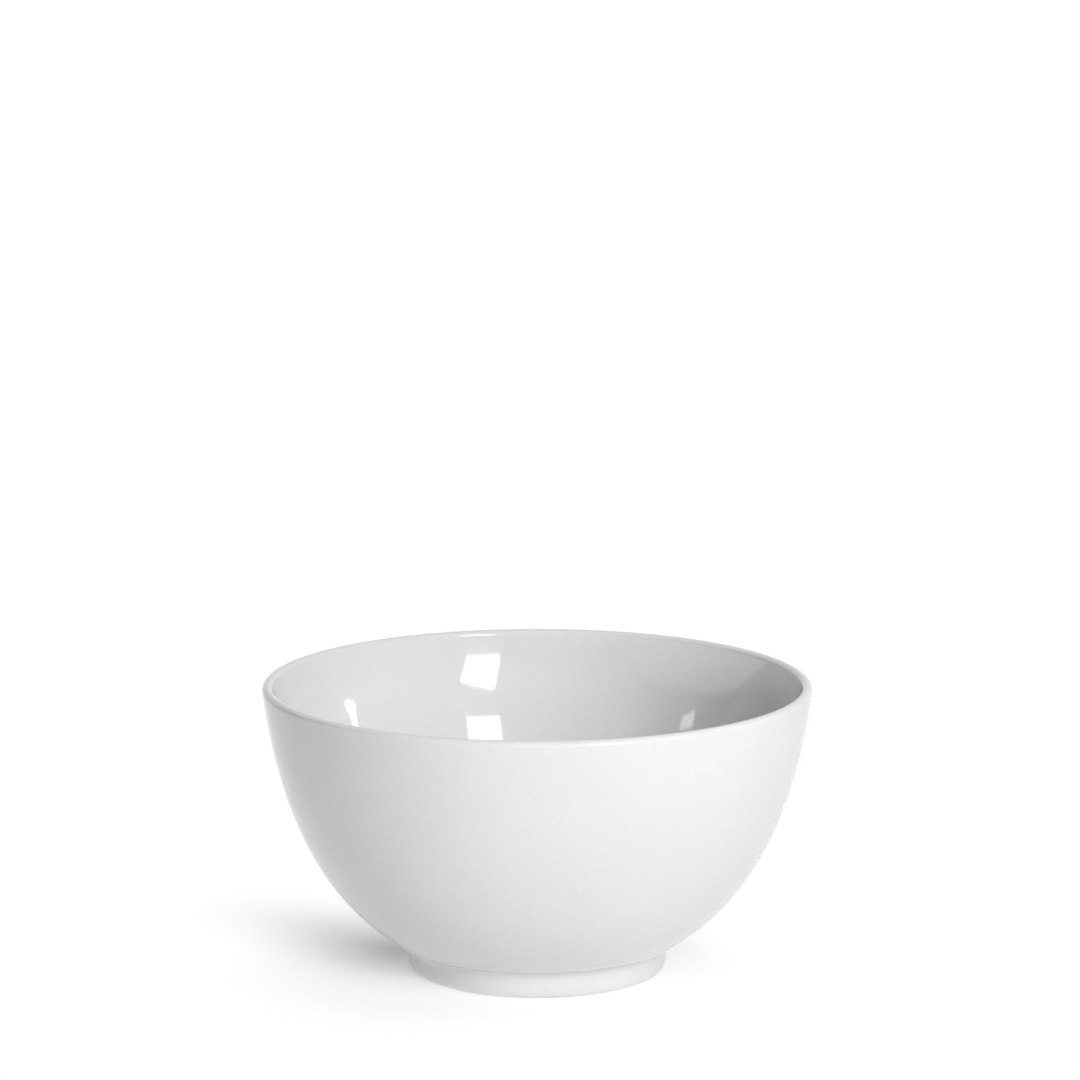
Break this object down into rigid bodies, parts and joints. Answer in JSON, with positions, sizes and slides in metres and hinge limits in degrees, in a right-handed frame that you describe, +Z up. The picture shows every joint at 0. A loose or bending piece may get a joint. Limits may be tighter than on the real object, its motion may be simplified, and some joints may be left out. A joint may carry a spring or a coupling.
{
  "type": "ceramic bowl",
  "caption": "Deep round white glazed ceramic bowl with a curved wall, a full-round lip and a short tapered foot ring, for serving soup, cereal or rice.",
  "frame": {"origin": "on the bowl's axis, at the level of the foot's standing face", "axes": "+Z up along the bowl's axis; the bowl is the same all round, so +X and +Y may point any way across it"},
  "size_m": [0.14, 0.14, 0.0748],
  "materials": {
    "white_glaze": "smooth glossy white glaze",
    "fired_clay": "matt off-white fired clay, bare only on the foot's standing edge",
    "fired_slip": "matt fired slip, hidden between foot ring and body"
  },
  "bodies": {
    "root": {"bowl_body": "fired_clay", "luting_slip": "fired_slip", "foot_ring": "fired_clay", "inside_glaze": "white_glaze", "outside_glaze": "white_glaze", "base_glaze": "white_glaze"}
  },
  "joints": []
}
